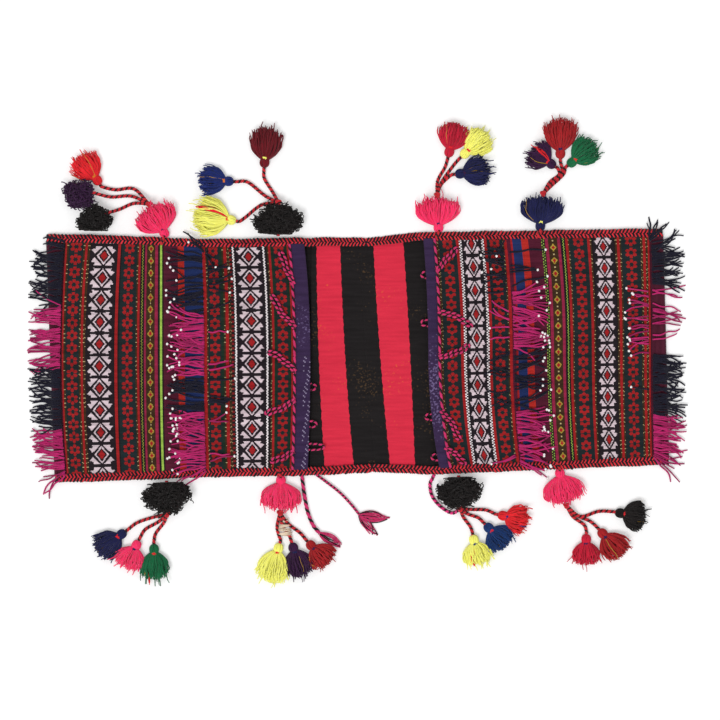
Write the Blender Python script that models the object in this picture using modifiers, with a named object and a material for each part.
"""Kilim double saddlebag lying flat: a woven back cloth with a striped saddle panel, a pouch at each
end, braided bindings, mouth hems, yarn fringes and eight groups of tassels on twisted cords.
Metres, +Z up. The origin is on the surface that the bag lies on, under the saddle panel."""

import math

import bmesh
import bpy
from mathutils import Matrix, Vector

# Bag outline, as four lines across the bag. Each has its place along the bag, its width, how far its
# middle lies off the bag's centre line, and how far its far-edge end leads its near-edge end.
LEFT_POUCH_LENGTH = 0.5065
SADDLE_LENGTH = 0.2199
RIGHT_POUCH_LENGTH = 0.4636
SADDLE_START = -0.087
LEFT_END_WIDTH = 0.480
LEFT_MOUTH_WIDTH = 0.460
RIGHT_MOUTH_WIDTH = 0.4675
RIGHT_END_WIDTH = 0.456
LEFT_END_MIDDLE = -0.0044
LEFT_MOUTH_MIDDLE = -0.001
RIGHT_MOUTH_MIDDLE = 0.005
RIGHT_END_MIDDLE = 0.0185
LEFT_END_LEAD = -0.017
LEFT_MOUTH_LEAD = 0.004
RIGHT_MOUTH_LEAD = -0.029
RIGHT_END_LEAD = -0.012

# Cloth and clearances
SEAT_GAP = 0.0003
LAY_GAP = 0.0006
MERGE_DISTANCE = 0.0001
BACK_THICKNESS = 0.0024
FACE_THICKNESS = 0.0020
POUCH_HEIGHT = 0.0114
POUCH_CORNER = 0.0020
FACE_CROWN = 0.006
END_STRIP_WIDTH = 0.029
LEFT_HEM_WIDTH = 0.029
RIGHT_HEM_WIDTH = 0.0205
HEM_THICKNESS = 0.0036
HEM_TO_FOLD = 0.0040

# Edge binding
BINDING_WIDTH = 0.017
BINDING_ROUNDING = 0.0030
SADDLE_BINDING_HEIGHT = 0.0062
SADDLE_BINDING_ROUNDING = 0.0018
FOLD_UP_ANGLE = math.radians(45)

# Fringes
FRINGE_THICKNESS = 0.0025
FRINGE_ROOT_WIDTH = 0.008
END_FRINGE_ROOT = 0.027
END_FRINGE_REACH = 0.036
FACE_FRINGE_LENGTH = 0.072
LEFT_FACE_FRINGE_ROOT = 0.306
RIGHT_FACE_FRINGE_ROOT = 0.299
FRINGE_TUFTS = 14
TUFT_WIDTH_SHARE = 0.70
TUFT_LENGTH_SHARES = (1.0, 0.86, 0.95, 0.78, 0.92)

# Closing loops along each mouth
LOOP_CORD_DIAMETER = 0.006
LOOP_REACH = 0.034
LOOP_COUNT = 9
LOOP_POINTS = 6

# Tassels, pompoms and their cords
CORD_DIAMETER = 0.007
CORD_STEP = 0.017
TAIL_DIAMETER = 0.006
KNOT_RADIUS = 0.006
TIE_RADIUS = 0.005
TIE_LENGTH = 0.006
ROOT_HEIGHT = 0.0065
HANGING_HEIGHT = 0.0055
HEAD_RADIUS = 0.009
NECK_RADIUS = 0.005
TASSEL_FLATTEN_SHARE = 0.55
SKIRT_ROUNDING_SHARE = 0.3
POMPOM_FLATTEN_SHARE = 0.62

# Sizes of tassels: length over all and width of the skirt
LARGE_TASSEL = (0.066, 0.066)
LONG_TASSEL = (0.076, 0.050)
MIDDLE_TASSEL = (0.066, 0.046)
SHORT_TASSEL = (0.058, 0.046)
BROAD_TASSEL = (0.080, 0.060)
# A tassel's outline, as shares of the head's radius and then of the skirt's
HEAD_SHARES = ((0.75, 0.3), (1.0, 1.0), (0.75, 1.7))
NECK_DROP_SHARE = 2.1
SHOULDER_SHARE = 0.62
HEM_SHARE = 0.72
# Half widths of pompoms, along the edge and away from it
ROOT_POMPOM = (0.040, 0.029)
SMALL_ROOT_POMPOM = (0.037, 0.029)
HANGING_POMPOM = (0.024, 0.024)

# One group each: which pouch and edge it hangs from, where along the pouch as a share from its end,
# its root piece with the way that points, and its hanging pieces. A hanging piece has its place
# from the root's seat, along and away from the edge, its way, and the points of its cord between.
GROUPS = {
    "a": {
        "pouch": "left",
        "edge": 1,
        "place_share": 0.440,
        "root": ("tassel", "pink", LARGE_TASSEL, 118),
        "hanging": [
            ("red_tassel", "red", MIDDLE_TASSEL, (-0.126, 0.103), 128, [(-0.060, 0.094), (-0.095, 0.092)]),
            ("purple_pompom", "purple", HANGING_POMPOM, (-0.164, 0.080), 190, [(-0.065, 0.080), (-0.105, 0.078)]),
            ("black_pompom", "black", HANGING_POMPOM, (-0.134, 0.030), 215, [(-0.060, 0.066), (-0.088, 0.054)]),
        ],
    },
    "b": {
        "pouch": "left",
        "edge": 1,
        "place_share": 0.867,
        "root": ("pompom", "black", ROOT_POMPOM, 90),
        "hanging": [
            ("maroon_tassel", "maroon", LONG_TASSEL, (-0.029, 0.138), 86, [(-0.012, 0.090), (-0.028, 0.115)]),
            ("blue_tassel", "blue", MIDDLE_TASSEL, (-0.089, 0.109), 178, [(-0.026, 0.082), (-0.060, 0.108)]),
            ("yellow_tassel", "yellow", BROAD_TASSEL, (-0.083, 0.033), 171, [(-0.034, 0.064), (-0.064, 0.040)]),
        ],
    },
    "c": {
        "pouch": "right",
        "edge": 1,
        "place_share": 0.918,
        "root": ("tassel", "pink", LARGE_TASSEL, 92),
        "hanging": [
            ("crimson_tassel", "crimson", MIDDLE_TASSEL, (0.021, 0.147), 75, [(0.000, 0.100), (0.014, 0.125)]),
            ("yellow_tassel", "yellow", MIDDLE_TASSEL, (0.047, 0.146), 42, [(0.008, 0.098), (0.030, 0.128)]),
            ("navy_tassel", "navy", MIDDLE_TASSEL, (0.035, 0.112), 6, [(0.006, 0.092), (0.020, 0.106)]),
        ],
    },
    "d": {
        "pouch": "right",
        "edge": 1,
        "place_share": 0.500,
        "root": ("tassel", "navy", LARGE_TASSEL, 85),
        "hanging": [
            ("purple_tassel", "purple", SHORT_TASSEL, (0.030, 0.124), 145, [(0.020, 0.094), (0.038, 0.108)]),
            ("brick_tassel", "brick", LONG_TASSEL, (0.041, 0.140), 90, [(0.024, 0.092), (0.044, 0.110)]),
            ("green_tassel", "green", MIDDLE_TASSEL, (0.056, 0.126), 38, [(0.024, 0.088), (0.046, 0.108)]),
        ],
    },
    "e": {
        "pouch": "left",
        "edge": -1,
        "place_share": 0.434,
        "root": ("pompom", "black", ROOT_POMPOM, 90),
        "hanging": [
            ("navy_tassel", "navy", MIDDLE_TASSEL, (-0.083, 0.101), 145, [(-0.024, 0.074), (-0.058, 0.084)]),
            ("pink_tassel", "pink", SHORT_TASSEL, (-0.058, 0.120), 117, [(-0.018, 0.084), (-0.044, 0.098)]),
            ("green_tassel", "green", MIDDLE_TASSEL, (-0.028, 0.128), 90, [(-0.008, 0.086), (-0.024, 0.106)]),
        ],
    },
    "f": {
        "pouch": "left",
        "edge": -1,
        "place_share": 0.880,
        "root": ("tassel", "pink", LARGE_TASSEL, 93),
        "hanging": [
            ("yellow_tassel", "yellow", LONG_TASSEL, (-0.006, 0.132), 106, [(-0.010, 0.098), (-0.007, 0.116)]),
            ("purple_tassel", "purple", MIDDLE_TASSEL, (0.018, 0.132), 74, [(0.001, 0.098), (0.012, 0.114)]),
            ("brick_tassel", "brick", SHORT_TASSEL, (0.049, 0.130), 49, [(0.012, 0.094), (0.034, 0.112)]),
        ],
    },
    "g": {
        "pouch": "right",
        "edge": -1,
        "place_share": 0.894,
        "root": ("pompom", "black", SMALL_ROOT_POMPOM, 90),
        "hanging": [
            ("red_tassel", "red", SHORT_TASSEL, (0.074, 0.084), 15, [(0.024, 0.072), (0.050, 0.074)]),
            ("yellow_tassel", "yellow", SHORT_TASSEL, (0.023, 0.122), 80, [(0.006, 0.086), (0.018, 0.104)]),
            ("teal_tassel", "teal", SHORT_TASSEL, (0.048, 0.102), 47, [(0.014, 0.080), (0.034, 0.088)]),
        ],
        "loop": [(-0.049, 0.0075), (-0.056, 0.020), (-0.053, 0.042), (-0.038, 0.063), (-0.016, 0.077)],
    },
    "h": {
        "pouch": "right",
        "edge": -1,
        "place_share": 0.463,
        "root": ("tassel", "pink", LARGE_TASSEL, 82),
        "hanging": [
            ("black_tassel", "black", SHORT_TASSEL, (0.105, 0.089), 12, [(0.036, 0.094), (0.072, 0.086)]),
            ("crimson_tassel", "crimson", SHORT_TASSEL, (0.046, 0.130), 94, [(0.022, 0.094), (0.042, 0.110)]),
            ("brick_tassel", "brick", MIDDLE_TASSEL, (0.072, 0.122), 51, [(0.026, 0.090), (0.054, 0.104)]),
        ],
    },
}

# The braided tail at the saddle panel's near edge. It is one braid, caught under the binding at its
# middle, and its route runs from one tufted end to the other.
TAIL_ROUTE = [
    (-0.026, -0.360, 0.0034),
    (-0.052, -0.348, 0.0034),
    (-0.074, -0.330, 0.0034),
    (-0.088, -0.304, 0.0034),
    (-0.094, -0.272, 0.0034),
    (-0.091, -0.244, 0.0034),
    (-0.080, -0.2342, 0.0036),
    (-0.066, -0.238, 0.0034),
    (-0.036, -0.258, 0.0034),
    (-0.008, -0.285, 0.0034),
    (0.004, -0.304, 0.0034),
    (0.036, -0.345, 0.0034),
]

COLOURS = {
    "crimson": (0.62, 0.03, 0.07),
    "black": (0.012, 0.010, 0.012),
    "navy": (0.012, 0.014, 0.07),
    "maroon": (0.16, 0.012, 0.045),
    "weave": (0.19, 0.035, 0.045),
    "purple": (0.085, 0.022, 0.16),
    "pink": (0.84, 0.035, 0.20),
    "braid": (0.45, 0.02, 0.10),
    "binding": (0.30, 0.015, 0.045),
    "magenta": (0.42, 0.015, 0.20),
    "red": (0.66, 0.03, 0.03),
    "blue": (0.015, 0.03, 0.30),
    "yellow": (0.72, 0.78, 0.06),
    "green": (0.01, 0.20, 0.06),
    "brick": (0.30, 0.015, 0.012),
    "teal": (0.01, 0.04, 0.10),
}


def clear_scene():
    for obj in list(bpy.data.objects):
        bpy.data.objects.remove(obj)


def wool(colour):
    """Matt dyed wool yarn."""
    name = f"{colour}_wool"
    found = bpy.data.materials.get(name)
    if found:
        return found
    material = bpy.data.materials.new(name)
    material.use_nodes = True
    shader = material.node_tree.nodes["Principled BSDF"]
    shader.inputs["Base Color"].default_value = (*COLOURS[colour], 1)
    shader.inputs["Roughness"].default_value = 0.9
    shader.inputs["Metallic"].default_value = 0
    return material


def joint_point(name, place):
    """An empty on a joint's axis, which carries the pieces that turn about it."""
    empty = bpy.data.objects.new(name, None)
    empty.location = place
    PARTS.objects.link(empty)
    return empty


def add(name, data, colour, body=None, world=None):
    """Names a piece, gives it its yarn and hangs it from its body's empty."""
    obj = bpy.data.objects.new(name, data)
    data.materials.append(wool(colour))
    PARTS.objects.link(obj)
    obj.matrix_basis = world if world else Matrix.Identity(4)
    if body:
        obj.parent = body
        obj.matrix_parent_inverse = Matrix.Translation(-body.location)
    return obj


def station(place, middle, width, lead):
    return {"place": place, "middle": middle, "width": width, "lead": lead}


LEFT_MOUTH = station(SADDLE_START, LEFT_MOUTH_MIDDLE, LEFT_MOUTH_WIDTH, LEFT_MOUTH_LEAD)
RIGHT_MOUTH = station(SADDLE_START + SADDLE_LENGTH, RIGHT_MOUTH_MIDDLE, RIGHT_MOUTH_WIDTH, RIGHT_MOUTH_LEAD)
LEFT_END = station(LEFT_MOUTH["place"] - LEFT_POUCH_LENGTH, LEFT_END_MIDDLE, LEFT_END_WIDTH, LEFT_END_LEAD)
RIGHT_END = station(RIGHT_MOUTH["place"] + RIGHT_POUCH_LENGTH, RIGHT_END_MIDDLE, RIGHT_END_WIDTH, RIGHT_END_LEAD)

POUCHES = {
    "left": {
        "end": LEFT_END,
        "mouth": LEFT_MOUTH,
        "length": LEFT_POUCH_LENGTH,
        "fringe": LEFT_FACE_FRINGE_ROOT,
        "hem": LEFT_HEM_WIDTH,
    },
    "right": {
        "end": RIGHT_END,
        "mouth": RIGHT_MOUTH,
        "length": RIGHT_POUCH_LENGTH,
        "fringe": RIGHT_FACE_FRINGE_ROOT,
        "hem": RIGHT_HEM_WIDTH,
    },
}
SADDLE = {"end": LEFT_MOUTH, "mouth": RIGHT_MOUTH, "length": SADDLE_LENGTH}

FOLD_AXIS_HEIGHT = BACK_THICKNESS / 2
FACE_BASE = POUCH_HEIGHT - FACE_THICKNESS
FACE_INSET = BINDING_WIDTH + SEAT_GAP


def point(cloth, along, across, inset=0.0, height=0.0):
    """A point on a pouch or the saddle panel. Along is the way from its first line in metres, and
    across runs from -1 to 1 between the two edges, each drawn in by the inset."""
    share = along / cloth["length"]
    first, last = cloth["end"], cloth["mouth"]
    mix = {key: first[key] + (last[key] - first[key]) * share for key in first}
    half = mix["width"] / 2
    reach = across * (half - inset)
    return Vector((mix["place"] + mix["lead"] / 2 * reach / half, mix["middle"] + reach, height))


def crown(cloth, along, across):
    """How far the pouch face stands up in the middle, from nothing at its bottom to full at the mouth."""
    share = min(max(along / cloth["length"], 0), 1)
    rise = share * share * (3 - 2 * share)
    return FACE_CROWN * rise * (1 - across * across) ** 2


def mesh_from(bm, name, smooth=False):
    bmesh.ops.recalc_face_normals(bm, faces=bm.faces)
    mesh = bpy.data.meshes.new(name)
    bm.to_mesh(mesh)
    bm.free()
    if smooth:
        mesh.shade_smooth()
        mesh.set_sharp_from_angle(angle=math.radians(50))
    return mesh


def loft(name, sections):
    """A closed solid through sections with as many points each."""
    bm = bmesh.new()
    rings = [[bm.verts.new(p) for p in section] for section in sections]
    for ring, following in zip(rings, rings[1:]):
        for i in range(len(ring)):
            j = (i + 1) % len(ring)
            bm.faces.new((ring[i], ring[j], following[j], following[i]))
    bm.faces.new(rings[0])
    bm.faces.new(reversed(rings[-1]))
    return mesh_from(bm, name)


def saddle_panel():
    """The striped middle of the back cloth. Each end is rounded about the fold's axis."""
    radius = BACK_THICKNESS / 2
    arc = [math.radians(a) for a in (90, 126, 162, 198, 234, 270)]
    profile = [(0, radius * math.cos(a), radius + radius * math.sin(a)) for a in arc]
    profile += [(SADDLE_LENGTH, -radius * math.cos(a), radius - radius * math.sin(a)) for a in arc]
    sections = []
    for across in (-1, 1):
        ring = []
        for along, offset, height in profile:
            place = point(SADDLE, along, across, FACE_INSET, height)
            ring.append(place + Vector((offset, 0, 0)))
        sections.append(ring)
    return add("saddle_panel", loft("saddle_panel", sections), "crimson")


def pouch_back(side, body):
    """The back cloth under a pouch. It turns up at the pouch bottom and back over as the end strip."""
    cloth = POUCHES[side]
    mouth = cloth["length"] - FOLD_AXIS_HEIGHT - SEAT_GAP
    profile = [
        (POUCH_CORNER, 0),
        (mouth, 0),
        (mouth, BACK_THICKNESS),
        (BACK_THICKNESS, BACK_THICKNESS),
        (BACK_THICKNESS, FACE_BASE),
        (END_STRIP_WIDTH, FACE_BASE),
        (END_STRIP_WIDTH, POUCH_HEIGHT),
        (POUCH_CORNER, POUCH_HEIGHT),
        (0, POUCH_HEIGHT - POUCH_CORNER),
        (0, POUCH_CORNER),
    ]
    sections = [[point(cloth, d, across, FACE_INSET, z) for d, z in profile] for across in (-1, 1)]
    name = f"{side}_pouch_back"
    return add(name, loft(name, sections), "maroon", body)


def mitre(height):
    """How far a pouch binding stops short of the fold, so that the pouch can turn up."""
    above = max(0.0, height - BACK_THICKNESS)
    return above * math.tan(FOLD_UP_ANGLE / 2)


def binding_profile(height, rounding):
    width = BINDING_WIDTH
    return [
        (rounding, 0),
        (width - rounding, 0),
        (width, rounding),
        (width, height - rounding),
        (width - rounding, height),
        (rounding, height),
        (0, height - rounding),
        (0, rounding),
    ]


def binding(name, cloth, across, height, rounding, first_stop, last_stop, body=None):
    """Braid sewn over one long edge, from line to line, stopping short by the given functions."""
    profile = binding_profile(height, rounding)
    first = [point(cloth, first_stop(z), across, inset, z) for inset, z in profile]
    last = [point(cloth, cloth["length"] - last_stop(z), across, inset, z) for inset, z in profile]
    return add(name, loft(name, [first, last]), "binding", body)


def crowned_sheet(name, cloth, first, last, base, thickness, cells, colour, body):
    """Cloth on the pouch's face, raised in the middle, from one distance along the pouch to another."""
    bm = bmesh.new()
    bmesh.ops.create_grid(bm, x_segments=cells[0], y_segments=cells[1], size=1)
    for vertex in bm.verts:
        along = first + (last - first) * (vertex.co.x + 1) / 2
        across = vertex.co.y
        vertex.co = point(cloth, along, across, FACE_INSET, base + crown(cloth, along, across))
    if cloth["end"]["place"] > cloth["mouth"]["place"]:
        bmesh.ops.reverse_faces(bm, faces=bm.faces)
    mesh = bpy.data.meshes.new(name)
    bm.to_mesh(mesh)
    bm.free()
    obj = add(name, mesh, colour, body)
    solid = obj.modifiers.new("cloth", "SOLIDIFY")
    solid.thickness = thickness
    solid.offset = 1
    return obj


def pouch_face(side, body):
    """The brocaded face panel, sewn at the pouch bottom and the sides."""
    cloth = POUCHES[side]
    first = END_STRIP_WIDTH + SEAT_GAP
    last = cloth["length"] - HEM_TO_FOLD - cloth["hem"] - SEAT_GAP
    return crowned_sheet(f"{side}_pouch_face", cloth, first, last, FACE_BASE, FACE_THICKNESS, (10, 10), "weave", body)


def mouth_hem(side, body):
    """The plaited hem on the mouth edge of the face."""
    cloth = POUCHES[side]
    last = cloth["length"] - HEM_TO_FOLD
    base = FACE_BASE - (HEM_THICKNESS - FACE_THICKNESS) / 2
    return crowned_sheet(
        f"{side}_mouth_hem", cloth, last - cloth["hem"], last, base, HEM_THICKNESS, (1, 10), "purple", body
    )


def closing_loops(side, body):
    """One braided cord worked to and fro along the mouth, beside the hem."""
    cloth = POUCHES[side]
    radius = LOOP_CORD_DIAMETER / 2
    last = cloth["length"] - HEM_TO_FOLD - cloth["hem"] - radius
    middle, swing = last - LOOP_REACH / 2, LOOP_REACH / 2
    count = LOOP_COUNT * LOOP_POINTS
    route = []
    for i in range(count + 1):
        across = -1 + 2 * i / count
        along = middle - swing * math.cos(2 * math.pi * i / LOOP_POINTS)
        inset = FACE_INSET + LOOP_CORD_DIAMETER
        height = POUCH_HEIGHT + LAY_GAP + radius + crown(cloth, along, across)
        route.append(point(cloth, along, across, inset, height))
    return add(f"{side}_closing_loops", tube(f"{side}_closing_loops", route, LOOP_CORD_DIAMETER, 1), "braid", body)


def fringe(name, cloth, rows, inset, body):
    """A row of yarn tufts on one root band. Rows give the distance along and the height of its bends,
    from the band's back to the tips."""
    bm = bmesh.new()
    pitch = 2 / FRINGE_TUFTS
    columns = []
    for tuft in range(FRINGE_TUFTS):
        start = -1 + pitch * tuft + pitch * (1 - TUFT_WIDTH_SHARE) / 2
        reach = TUFT_LENGTH_SHARES[tuft % len(TUFT_LENGTH_SHARES)]
        columns.append((start, reach))
        columns.append((start + pitch * TUFT_WIDTH_SHARE, reach))
    grid = []
    for across, reach in columns:
        line = []
        for number, (along, height) in enumerate(rows):
            if number == len(rows) - 1:
                before = rows[-2]
                along = before[0] + (along - before[0]) * reach
                height = before[1] + (height - before[1]) * reach
            on_face = crown(cloth, along, across) if along > 0 and inset else 0
            line.append(bm.verts.new(point(cloth, along, across, inset, height + on_face)))
        grid.append(line)
    for i in range(len(grid) - 1):
        for j in range(len(rows) - 1):
            if j == 0 or i % 2 == 0:
                bm.faces.new((grid[i][j], grid[i][j + 1], grid[i + 1][j + 1], grid[i + 1][j]))
    bm.normal_update()
    if sum(face.normal.z for face in bm.faces) < 0:
        bmesh.ops.reverse_faces(bm, faces=bm.faces)
    mesh = bpy.data.meshes.new(name)
    bm.to_mesh(mesh)
    bm.free()
    obj = add(name, mesh, "magenta", body)
    solid = obj.modifiers.new("yarn", "SOLIDIFY")
    solid.thickness = FRINGE_THICKNESS
    solid.offset = 1
    return obj


def end_fringe(side, body):
    """The fringe on the end strip, which hangs over the pouch bottom to the ground."""
    top = POUCH_HEIGHT + SEAT_GAP
    rows = [
        (END_FRINGE_ROOT, top),
        (END_FRINGE_ROOT - FRINGE_ROOT_WIDTH, top),
        (-SEAT_GAP, top),
        (-END_FRINGE_REACH, SEAT_GAP),
    ]
    return fringe(f"{side}_end_fringe", POUCHES[side], rows, 0.0, body)


def face_fringe(side, body):
    """The fringe sewn across the middle of the face."""
    cloth = POUCHES[side]
    top = POUCH_HEIGHT + LAY_GAP
    root = cloth["fringe"]
    rows = [(root, top), (root - FRINGE_ROOT_WIDTH, top), (root - FACE_FRINGE_LENGTH, top)]
    return fringe(f"{side}_face_fringe", cloth, rows, FACE_INSET, body)


def smooth_route(points, step):
    """Points about a step apart on a smooth curve through a route's own points."""
    ends = [2 * points[0] - points[1], *points, 2 * points[-1] - points[-2]]
    route = [points[0]]
    for p0, p1, p2, p3 in zip(ends, ends[1:], ends[2:], ends[3:]):
        parts = max(1, round((p2 - p1).length / step))
        for i in range(1, parts + 1):
            t = i / parts
            route.append(
                (2 * p1 + (p2 - p0) * t + (2 * p0 - 5 * p1 + 4 * p2 - p3) * t**2 + (3 * p1 - p0 - 3 * p2 + p3) * t**3) / 2
            )
    return route


def tube(name, route, diameter, resolution=2):
    """A round cord along the route, as a curve."""
    curve = bpy.data.curves.new(name, "CURVE")
    curve.dimensions = "3D"
    curve.bevel_depth = diameter / 2
    curve.bevel_resolution = resolution
    curve.use_fill_caps = True
    spline = curve.splines.new("POLY")
    spline.points.add(len(route) - 1)
    for target, place in zip(spline.points, route):
        target.co = (*place, 1)
    return curve


def mesh_of_tube(name, route, diameter):
    """A cord as a closed mesh, with its caps welded on."""
    holder = bpy.data.objects.new(name, tube(name, route, diameter))
    bpy.context.scene.collection.objects.link(holder)
    evaluated = holder.evaluated_get(bpy.context.evaluated_depsgraph_get())
    mesh = bpy.data.meshes.new_from_object(evaluated)
    bm = bmesh.new()
    bm.from_mesh(mesh)
    bmesh.ops.remove_doubles(bm, verts=bm.verts, dist=MERGE_DISTANCE)
    bm.to_mesh(mesh)
    bm.free()
    curve = holder.data
    bpy.data.objects.remove(holder)
    bpy.data.curves.remove(curve)
    return mesh


def ball_mesh(name, centre, radius):
    bm = bmesh.new()
    bmesh.ops.create_uvsphere(bm, u_segments=10, v_segments=6, radius=radius)
    bmesh.ops.translate(bm, verts=bm.verts, vec=centre)
    return mesh_from(bm, name, smooth=True)


def join(obj, meshes):
    """Makes one solid of a piece and the meshes that reach into it."""
    for number, mesh in enumerate(meshes):
        guide = bpy.data.objects.new(f"{obj.name}_joined_{number}", mesh)
        GUIDES.objects.link(guide)
        guide.hide_render = True
        guide.display_type = "WIRE"
        union = obj.modifiers.new(f"joined_{number}", "BOOLEAN")
        union.operation = "UNION"
        union.object = guide


def lying(direction, place, scale):
    """The placement of a turned piece that lies along a direction, flattened on its upper side."""
    axis = -direction.normalized()
    side = axis.cross(Vector((0, 0, 1))).normalized()
    turn = Matrix((side.cross(axis), side, axis)).transposed().to_4x4()
    return Matrix.Translation(place) @ turn @ Matrix.Diagonal((*scale, 1))


def tassel_way(size, height, flat_way):
    """The way a tassel points, from a head at some height, when its skirt's widest part lies on the ground."""
    radius = size[1] / 2
    widest = size[0] - radius * SKIRT_ROUNDING_SHARE
    rise = radius * TASSEL_FLATTEN_SHARE - height
    return (flat_way + Vector((0, 0, rise / widest))).normalized()


def tassel(name, colour, size, head, direction, body):
    """A yarn tassel: a wound head over a flared skirt, turned about its length and laid flat."""
    length, width = size
    radius, ball = width / 2, HEAD_RADIUS
    profile = [
        (0, 0),
        *((ball * across, -ball * down) for across, down in HEAD_SHARES),
        (NECK_RADIUS, -ball * NECK_DROP_SHARE),
        (radius * SHOULDER_SHARE, -(length + ball) / 2),
        (radius, -(length - radius * SKIRT_ROUNDING_SHARE)),
        (radius * HEM_SHARE, -length),
        (0, -length),
    ]
    mesh = bpy.data.meshes.new(name)
    edges = [(i, i + 1) for i in range(len(profile) - 1)]
    mesh.from_pydata([(x, 0, z) for x, z in profile], edges, [])
    world = lying(direction, head, (TASSEL_FLATTEN_SHARE, 1, 1))
    obj = add(name, mesh, colour, body, world)
    turn = obj.modifiers.new("turned", "SCREW")
    turn.axis = "Z"
    turn.steps = 10
    turn.render_steps = 10
    turn.use_merge_vertices = True
    turn.merge_threshold = MERGE_DISTANCE
    return obj


def pompom_height(size):
    return POMPOM_FLATTEN_SHARE * min(size)


def pompom(name, colour, size, centre, along_edge, body):
    """A trimmed ball of yarn, a little flattened under its own weight."""
    bm = bmesh.new()
    bmesh.ops.create_uvsphere(bm, u_segments=12, v_segments=8, radius=1)
    away = Vector((0, 0, 1)).cross(along_edge)
    turn = Matrix((along_edge, away, Vector((0, 0, 1)))).transposed().to_4x4()
    tall = pompom_height(size)
    bmesh.ops.transform(bm, verts=bm.verts, matrix=turn @ Matrix.Diagonal((*size, tall, 1)))
    return add(name, mesh_from(bm, name, smooth=True), colour, body, Matrix.Translation(centre))


def root_tassel(name, colour, size, pivot, way, body):
    """A large tassel whose head is sewn to the binding. Returns where its cords are knotted."""
    slope = tassel_way(size, pivot.z, way)
    start = pivot - slope * HEAD_RADIUS
    tassel(name, colour, size, start, slope, body)
    return start + slope * (size[0] + SEAT_GAP + KNOT_RADIUS)


def root_pompom(name, colour, size, pivot, along_edge, away, body):
    """A pompom on a short tie that is sewn to the binding. Returns where its cords are knotted."""
    tall = pompom_height(size)
    drop = (tall - pivot.z) / tall
    middle = pivot + away * (TIE_LENGTH + size[1] * math.sqrt(1 - drop * drop))
    middle.z = tall
    ball = pompom(name, colour, size, middle, along_edge, body)
    tie = [pivot, pivot + (middle - pivot) / 2, middle]
    join(ball, [mesh_of_tube(name, tie, CORD_DIAMETER), ball_mesh(name, pivot, TIE_RADIUS)])
    return middle + away * (size[1] + SEAT_GAP + KNOT_RADIUS)


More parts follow.
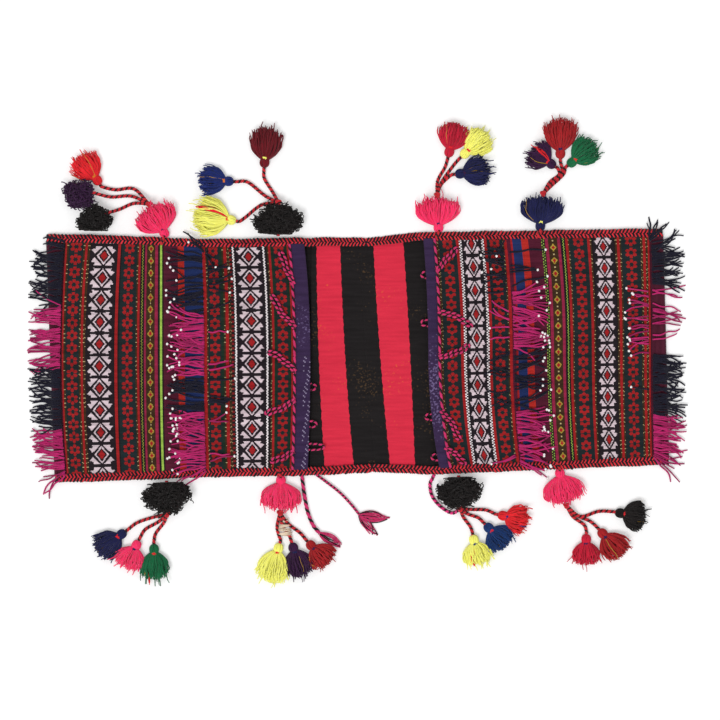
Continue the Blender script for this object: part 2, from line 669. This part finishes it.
def tassel_group(letter, facts, pouch_body):
    """A root piece at the binding, and three pieces on cords that leave the root piece's outer end."""
    cloth = POUCHES[facts["pouch"]]
    edge = facts["edge"]
    place = cloth["length"] * facts["place_share"]
    seat = point(cloth, place, edge)
    along = (point(cloth, cloth["length"], edge) - point(cloth, 0, edge)).normalized()
    if along.x < 0:
        along = -along
    away = Vector((-along.y, along.x, 0)) * edge

    def local(e, n, z):
        flat = seat + along * e + away * n
        return Vector((flat.x, flat.y, z))

    def heading(angle):
        return along * math.cos(math.radians(angle)) + away * math.sin(math.radians(angle))

    kind, colour, size, angle = facts["root"]
    root_radius = HEAD_RADIUS if kind == "tassel" else TIE_RADIUS
    pivot = local(0, root_radius + SEAT_GAP, ROOT_HEIGHT)
    body = joint_point(f"tassels_{letter}_axis", pivot)
    body.parent = pouch_body
    body.matrix_parent_inverse = Matrix.Translation(-pouch_body.location)
    root_name = f"tassels_{letter}_root_{kind}"
    if kind == "tassel":
        knot = root_tassel(root_name, colour, size, pivot, heading(angle), body)
    else:
        knot = root_pompom(root_name, colour, size, pivot, along, away, body)
    routes = []
    floor = CORD_DIAMETER / 2 + SEAT_GAP
    for name, colour, size, (e, n), angle, between in facts["hanging"]:
        way = heading(angle)
        full_name = f"tassels_{letter}_{name}"
        if name.endswith("tassel"):
            head = local(e, n, HANGING_HEIGHT)
            slope = tassel_way(size, HANGING_HEIGHT, way)
            tassel(full_name, colour, size, head, slope, body)
            finish = head - slope * SEAT_GAP
            lead = finish - slope * CORD_DIAMETER
            lead.z = max(lead.z, floor)
        else:
            middle = local(e, n, pompom_height(size))
            pompom(full_name, colour, size, middle, along, body)
            finish = middle - way * (size[0] + SEAT_GAP)
            lead = finish - way * CORD_DIAMETER
        middles = [local(a, b, floor) for a, b in between]
        first = knot + (middles[0] - knot).normalized() * KNOT_RADIUS / 3
        routes.append(smooth_route([first, *middles, lead, finish], CORD_STEP))
    if "loop" in facts:
        route = [local(a, b, floor) for a, b in facts["loop"]]
        last = knot + (route[-1] - knot).normalized() * KNOT_RADIUS / 3
        routes.append(smooth_route([*route, last], CORD_STEP))
    name = f"tassels_{letter}_cords"
    bundle = add(name, ball_mesh(name, knot, KNOT_RADIUS), "braid", body)
    join(bundle, [mesh_of_tube(name, route, CORD_DIAMETER) for route in routes])


def saddle_tail():
    route = smooth_route([Vector(p) for p in TAIL_ROUTE], 3 * TAIL_DIAMETER)
    return add("saddle_tail_braid", tube("saddle_tail_braid", route, TAIL_DIAMETER), "braid")


def build():
    saddle_panel()
    for label, across in (("far", 1), ("near", -1)):
        binding(
            f"saddle_binding_{label}",
            SADDLE,
            across,
            SADDLE_BINDING_HEIGHT,
            SADDLE_BINDING_ROUNDING,
            mitre,
            mitre,
        )
    saddle_tail()
    for side, cloth in POUCHES.items():
        fold = joint_point(f"{side}_fold_axis", point(cloth, cloth["length"], 0, 0, FOLD_AXIS_HEIGHT))
        pouch_back(side, fold)
        for label, across in (("far", 1), ("near", -1)):
            binding(
                f"{side}_binding_{label}",
                cloth,
                across,
                POUCH_HEIGHT,
                BINDING_ROUNDING,
                lambda z: 0.0,
                lambda z: FOLD_AXIS_HEIGHT + SEAT_GAP + mitre(z),
                fold,
            )
        end_fringe(side, fold)
        hinge = joint_point(f"{side}_mouth_axis", point(cloth, END_STRIP_WIDTH, 0, 0, POUCH_HEIGHT))
        hinge.parent = fold
        hinge.matrix_parent_inverse = Matrix.Translation(-fold.location)
        pouch_face(side, hinge)
        mouth_hem(side, hinge)
        closing_loops(side, hinge)
        face_fringe(side, hinge)
        for letter, facts in GROUPS.items():
            if facts["pouch"] == side:
                tassel_group(letter, facts, fold)


clear_scene()
PARTS = bpy.data.collections.new("kilim_saddlebag")
GUIDES = bpy.data.collections.new("cutters")
bpy.context.scene.collection.children.link(PARTS)
bpy.context.scene.collection.children.link(GUIDES)
build()
